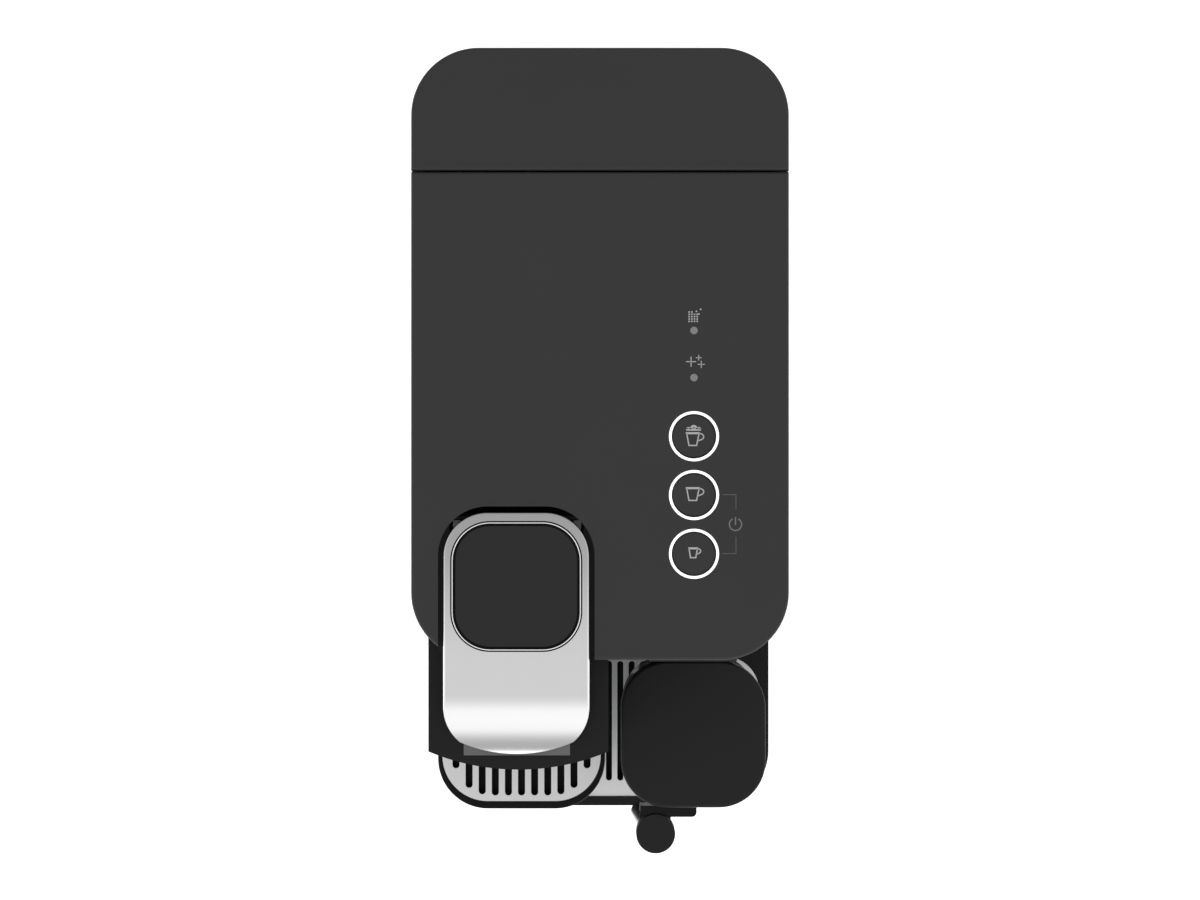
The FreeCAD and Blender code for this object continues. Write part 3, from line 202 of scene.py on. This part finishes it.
# painted shade on the lever: its chrome grows darker towards the rear, standing in for the dimmer
# reflection there
leverPaintedShade = {"light": -0.085, "dark": -0.02, "share": 0.55}  # two places in Y, and the share left when dark
ownFinish = {
    "lever_frame": metal("leverChromePaintedShade", 232, 0.17, (1, 0.05, 1), 500, 0.000001, 0.03, leverPaintedShade),
    # painted light: the drip grid is a lighter copy of the grid steel, lifting the shade it lies in under
    # the head
    "drip_grid": metal("dripSteelLightened", 246, 0.32, (1, 0.03, 1)),
    "lever_insert": plastic("insertBlack", 28, 0.46, 2200, gloss=0.24),
    "lever_shaft": plastic("shaftBlack", 9, 0.5, 900, gloss=0.06),
    "spout_bracket": plastic("bracketBlack", 13, 0.28, 1500, gloss=0.16),
    "cup_support": plastic("supportBlack", 9, 0.3, 1500, gloss=0.13),
    "spout_nozzle": clear("nozzleSmoke", (0.012, 0.012, 0.014), 0.08, 0.2),
}
slotOf = {piece["node"]: piece["material_slot"] for piece in frame["record"]["subparts"]}
for name, node in nodes.items():
    node.data.materials.clear()
    node.data.materials.append(ownFinish.get(name, finishes[slotOf[name]]))
print("materials set:", len(finishes) + len(ownFinish))

# Printed marks: flat ribbons a few hundredths of a millimetre thick on the panel and the buttons

printThickness = 0.04 * mm


def printInk(name, grey):
    # dull ink with hardly any grain
    return plastic(name, grey, 0.5, 1500, 0.00001, 0.3, 0.04)


markGrey = printInk("markGrey", 158)
markDim = printInk("markDim", 104)
markFaint = printInk("markFaint", 78)
maskBlack = plastic("maskBlack", 20, 0.5, 2400, 0.00001, 0.15)


def addMesh(name, points, faces, material):
    mesh = bpy.data.meshes.new(name)
    mesh.from_pydata(points.tolist(), [], faces.tolist())
    mesh.materials.append(material)
    piece = bpy.data.objects.new(name, mesh)
    bpy.context.scene.collection.objects.link(piece)
    return piece


def ribbon(points, width):
    # each point moves half the width to both sides, along the mean normal of the runs that meet there
    line = np.array(points, float)
    closed = np.allclose(line[0], line[-1])
    runs = np.diff(line, axis=0)
    runs = runs / np.linalg.norm(runs, axis=1)[:, None]
    before = np.vstack([runs[-1:] if closed else runs[:1], runs])
    after = np.vstack([runs, runs[:1] if closed else runs[-1:]])
    along = before + after
    along = along / np.linalg.norm(along, axis=1)[:, None]
    normal = np.stack([-along[:, 1], along[:, 0]], axis=1)
    miter = width / 2 / np.clip((before * along).sum(axis=1), 0.5, 1)
    sides = np.vstack([line + normal * miter[:, None], line - normal * miter[:, None]])
    count = len(line)
    step = np.arange(count - 1)
    quads = np.stack([step + count, step + count + 1, step + 1, step], axis=1)
    return sides, quads


def arcPoints(centre, radius, start, end, count=24):
    # points at even angles, in degrees, on a circle or an ellipse
    angle = np.radians(np.linspace(start, end, count))
    radius = np.broadcast_to(radius, 2)
    return np.stack([centre[0] + radius[0] * np.cos(angle), centre[1] + radius[1] * np.sin(angle)], axis=1)


def printMark(name, strokes, centre, height, body, material):
    # joins ribbons, given as (points in mm, width in mm), into one thin solid
    parts = [ribbon(points, width) for points, width in strokes]
    offsets = np.cumsum([0] + [len(sides) for sides, quads in parts[:-1]])
    flat = np.vstack([sides for sides, quads in parts]) * mm + np.array(centre) * mm
    faces = np.vstack([quads + offset for (sides, quads), offset in zip(parts, offsets)])
    points = np.column_stack([flat, np.full(len(flat), height)])
    piece = addMesh(name, points, faces, material)
    solid = piece.modifiers.new("thickness", "SOLIDIFY")
    solid.thickness = printThickness
    solid.offset = 1.0
    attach(piece, body)


# Button symbols, in mm about the button's centre
cup = {
    "rim": [(-3.35, 2.8), (2.35, 2.8)],
    "rimWidth": 0.85,
    "wall": [(-2.95, 2.6), (-2.05, -2.2), (1.05, -2.2), (2.05, 2.6)],
    "wallWidth": 0.52,
    "handleCentre": (2.2, 1.35),
    "handleRadius": (1.75, 1.3),
    "handleAngles": (85, -62),
    "handleEnd": (1.65, -0.35),
    "handleWidth": 0.5,
    "milkDrop": -1.55,  # the milk cup sits lower, under its foam
    "shortScale": (0.69, 0.76),
    "shortDrop": 0.1,
}
foam = {
    "base": [(-3.2, 2.75), (2.85, 2.75)],
    "sideCentres": [(-2.15, 2.85), (1.9, 2.85)],
    "sideRadius": (0.75, 0.55),
    "sideWidth": 0.7,
    "middleCentre": (-0.1, 3.1),
    "middleRadius": 1.05,
    "middleWidth": 0.95,
}


def cupStrokes(scale=(1.0, 1.0), drop=0.0):
    # a tapered cup with a heavy rim and a round handle
    handle = arcPoints(cup["handleCentre"], cup["handleRadius"], *cup["handleAngles"], 16)
    handle = np.vstack([handle, [cup["handleEnd"]]])
    strokes = [(np.array(cup["rim"]), cup["rimWidth"]),
               (np.array(cup["wall"]), cup["wallWidth"]),
               (handle, cup["handleWidth"])]
    return [(points * scale + np.array([0, drop]), width) for points, width in strokes]


def foamStrokes():
    # half-round bumps on a flat base as heavy as the middle bump
    left, right = (arcPoints(centre, foam["sideRadius"], 180, 0, 12) for centre in foam["sideCentres"])
    middle = arcPoints(foam["middleCentre"], foam["middleRadius"], 180, 0, 12)
    return [(left, foam["sideWidth"]), (middle, foam["middleWidth"]), (right, foam["sideWidth"]),
            (np.array(foam["base"]), foam["middleWidth"])]


buttons = {
    "milk_coffee": ("milk_key", cupStrokes(drop=cup["milkDrop"]) + foamStrokes()),
    "long_coffee": ("long_key", cupStrokes()),
    "short_coffee": ("short_key", cupStrokes(cup["shortScale"], cup["shortDrop"])),
}
mask = {"radius": 8.87, "width": 0.44}  # a dark line that narrows the light ring
maskStrokes = [(arcPoints((0, 0), mask["radius"], 0, 360, 73), mask["width"])]
for drink, (body, strokes) in buttons.items():
    low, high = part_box(drink + "_button")
    middle = ((low[0] + high[0]) / 2 / mm, (low[1] + high[1]) / 2 / mm)
    printMark(drink + "_mark", strokes, middle, high[2], body, markGrey)
    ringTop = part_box(drink + "_light_ring")[1][2]
    printMark(drink + "_ring_mask", maskStrokes, middle, ringTop, "machine", maskBlack)

# Panel marks, in mm
lightsX = 38.3
limeScale = {
    "centre": (lightsX + 0.3, 59.0),
    "rows": 4,
    "rowPitch": 0.95,
    "columns": 4,
    "columnPitch": 1.087,
    "start": (-2.26, -2.37),
    "loose": [(-2.26, 1.43), (-1.17, 1.43), (0.7, 1.7), (1.7, 0.6), (2.4, 2.5)],
    "dot": 0.6,
}
rinse = {
    "centre": (lightsX + 0.2, 40.2),
    "sparkles": [((-1.4, 0.0), 4.1, 0.38), ((1.7, 1.6), 2.3, 0.34), ((2.75, -1.1), 2.9, 0.34)],
}
power = {
    "centre": (55.2, -26.1),
    "radius": 2.5,
    "angles": (118, 422),
    "bar": [(0, -0.3), (0, 3.0)],
    "width": 0.5,
}
powerLink = {
    "runs": [[(49.9, -14.0), (55.4, -14.0), (55.4, -20.0)],
             [(49.9, -38.0), (55.4, -38.0), (55.4, -31.3)]],
    "width": 0.34,
}


def dotStrokes():
    # square dots on a grid and loose ones above it: each is a stroke as long as it is wide
    startX, startY = limeScale["start"]
    squares = [(startX + column * limeScale["columnPitch"], startY + row * limeScale["rowPitch"])
               for row in range(limeScale["rows"]) for column in range(limeScale["columns"])]
    half = np.array([limeScale["dot"] / 2, 0])
    return [(np.array([square - half, square + half]), limeScale["dot"])
            for square in squares + limeScale["loose"]]


def sparkleStrokes(middle, length, width):
    # a plus sign: one stroke along X and one along Y
    arms = np.array([(length / 2, 0), (0, length / 2)])
    return [(np.array([middle - arm, middle + arm]), width) for arm in arms]


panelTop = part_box("top_panel")[1][2]
printMark("scale_mark", dotStrokes(), limeScale["centre"], panelTop, "machine", markGrey)
sparkles = [stroke for sparkle in rinse["sparkles"] for stroke in sparkleStrokes(*sparkle)]
printMark("rinse_mark", sparkles, rinse["centre"], panelTop, "machine", markGrey)
powerArc = arcPoints((0, 0), power["radius"], *power["angles"], 40)
powerStrokes = [(powerArc, power["width"]), (np.array(power["bar"]), power["width"])]
printMark("power_mark", powerStrokes, power["centre"], panelTop, "machine", markDim)
linkStrokes = [(np.array(run), powerLink["width"]) for run in powerLink["runs"]]
printMark("power_link", linkStrokes, (0, 0), panelTop, "machine", markFaint)
print("marks printed")

# Lever bead: a fine polished rib in the gap round the insert, over a dark strip of painted shade that
# darkens the groove


def roundedPath(width, depth, corner, count=16):
    # four corner arcs joined by straight runs, counter-clockwise about the origin
    centres = [(1, 1, 0), (-1, 1, 90), (-1, -1, 180), (1, -1, 270)]
    halfX, halfY = width / 2 - corner, depth / 2 - corner
    arcs = [arcPoints((x * halfX, y * halfY), corner, start, start + 90, count) for x, y, start in centres]
    return np.vstack(arcs)


def tubeAlong(name, path, height, radius, body, material, around=10):
    # a round rib: each point of a closed flat path carries a circle that stands across the path
    ahead = np.roll(path, -1, axis=0) - np.roll(path, 1, axis=0)
    ahead = ahead / np.linalg.norm(ahead, axis=1)[:, None]
    outward = np.stack([ahead[:, 1], -ahead[:, 0]], axis=1)
    turn = np.linspace(0, 2 * np.pi, around, endpoint=False)
    flat = path[:, None, :] + outward[:, None, :] * (radius * np.cos(turn))[None, :, None]
    rise = np.broadcast_to(height + radius * np.sin(turn), flat.shape[:2])
    points = np.dstack([flat, rise]).reshape(-1, 3)
    rows, columns = np.meshgrid(np.arange(len(path)), np.arange(around), indexing="ij")
    nextRow, nextColumn = (rows + 1) % len(path), (columns + 1) % around
    quads = np.stack([rows * around + columns, nextRow * around + columns,
                      nextRow * around + nextColumn, rows * around + nextColumn], axis=-1).reshape(-1, 4)
    piece = addMesh(name, points, quads, material)
    piece.data.polygons.foreach_set("use_smooth", np.ones(len(quads), bool))
    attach(piece, body)


bead = {"radius": 0.27 * mm, "offset": 0.42 * mm, "drop": 0.1 * mm}
# painted shade: a dark strip sunk in the gap round the insert stands for the shade in the groove
gapShade = {"width": 2.08, "offset": 0.14 * mm, "depth": 0.5 * mm}
insertCorner = 15.0 * mm  # the radius of the insert's own corners
beadChrome = metal("beadChrome", 253, 0.1, (1, 0.05, 1), 500, 0.000001, 0.03)
low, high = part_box("lever_insert")
insertCentre = np.array([(low[0] + high[0]) / 2, (low[1] + high[1]) / 2])
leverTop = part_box("lever_frame")[1][2]


def roundInsert(offset):
    # the insert's outline, grown by an offset
    return roundedPath(high[0] - low[0] + 2 * offset, high[1] - low[1] + 2 * offset, insertCorner + offset)


beadPath = roundInsert(bead["offset"]) + insertCentre
beadHeight = leverTop - bead["drop"] - bead["radius"]
tubeAlong("lever_bead", beadPath, beadHeight, bead["radius"], "lever", beadChrome)
gapShadePath = roundInsert(gapShade["offset"]) / mm
gapShadeStrokes = [(np.vstack([gapShadePath, gapShadePath[:1]]), gapShade["width"])]
gapShadeHeight = leverTop - gapShade["depth"]
gapShadeBlack = ownFinish["lever_shaft"]
printMark("lever_gap_shade", gapShadeStrokes, insertCentre / mm, gapShadeHeight, "lever",
          gapShadeBlack)
print("lever bead laid")

# Stage: pale floor, one soft box, a straight-down camera and a soft room

floorLook = {"size": 6.0, "white": 0.9, "rough": 0.9, "shine": 0.62}
frontBox = {"place": (0.0, -1.25, 2.5), "aim": (0, -0.15, 0.2), "size": (2.4, 1.7), "power": 20}
lens = {"height": 2.2, "y": 0.0042, "photoWidth": 1200, "focalPixels": 4786, "sensor": 36.0}
room = {  # direction, then low and high strength, then where the change starts and ends
    "overhead": ("Z", 0.6, 0.74, 0.0, 0.9),
    "screen": ("Y", 0.46, 0.0, -0.5, -0.02),  # bright, high in front
    "fade": ("Y", -0.58, 0.0, -1.0, -0.8),  # darker towards the floor in front
    "walls": ("X", 0.0, 0.45, 0.55, 0.95),  # bright at both sides
}


def addFloor():
    material, tree, shader = newMaterial("paleFloor")
    shader.inputs["Base Color"].default_value = (*[floorLook["white"]] * 3, 1)
    shader.inputs["Roughness"].default_value = floorLook["rough"]
    path = tree.nodes.new("ShaderNodeLightPath")
    seen = path.outputs["Is Camera Ray"]
    for ray in ("Is Glossy Ray", "Is Transmission Ray"):
        seen = combine(tree, "MAXIMUM", seen, path.outputs[ray])
    shader.inputs["Emission Color"].default_value = (1, 1, 1, 1)
    shine = spread(tree, seen, 0.0, floorLook["shine"], 0.0, 1.0)
    tree.links.new(shine, shader.inputs["Emission Strength"])
    corners = np.array([(-1, -1, 0), (1, -1, 0), (1, 1, 0), (-1, 1, 0)]) * floorLook["size"] / 2
    floor = addMesh("floor", corners, np.array([(0, 1, 2, 3)]), material)


def addSoftBox():
    data = bpy.data.lights.new("frontBox", "AREA")
    data.shape = "RECTANGLE"
    data.size, data.size_y = frontBox["size"]
    data.energy = frontBox["power"]
    light = bpy.data.objects.new("frontBox", data)
    bpy.context.scene.collection.objects.link(light)
    light.location = frontBox["place"]
    direction = Vector(frontBox["aim"]) - Vector(frontBox["place"])
    light.rotation_euler = direction.to_track_quat("-Z", "Y").to_euler()
    light.visible_glossy = False


def addCamera():
    data = bpy.data.cameras.new("camera")
    data.sensor_width = lens["sensor"]
    data.lens = lens["focalPixels"] / lens["photoWidth"] * lens["sensor"]
    camera = bpy.data.objects.new("camera", data)
    camera.location = (0, lens["y"], lens["height"])
    bpy.context.scene.collection.objects.link(camera)
    bpy.context.scene.camera = camera


def addWorld():
    # the strengths of the room's parts add up, each along its own direction
    world = bpy.data.worlds.new("studio")
    world.use_nodes = True
    tree = world.node_tree
    place = tree.nodes.new("ShaderNodeTexCoord")
    split = tree.nodes.new("ShaderNodeSeparateXYZ")
    tree.links.new(place.outputs["Generated"], split.inputs["Vector"])
    along = {axis: split.outputs[axis] for axis in ("Y", "Z")}
    along["X"] = combine(tree, "ABSOLUTE", split.outputs["X"])  # the same at both sides
    strengths = [spread(tree, along[axis], *change, "SMOOTHSTEP") for axis, *change in room.values()]
    total = strengths[0]
    for strength in strengths[1:]:
        total = combine(tree, "ADD", total, strength)
    background = tree.nodes["Background"]
    background.inputs["Color"].default_value = (1, 1, 1, 1)
    tree.links.new(total, background.inputs["Strength"])
    bpy.context.scene.world = world


addFloor()
addSoftBox()
addCamera()
addWorld()
bpy.context.scene.view_settings.view_transform = "Standard"
print("stage set")
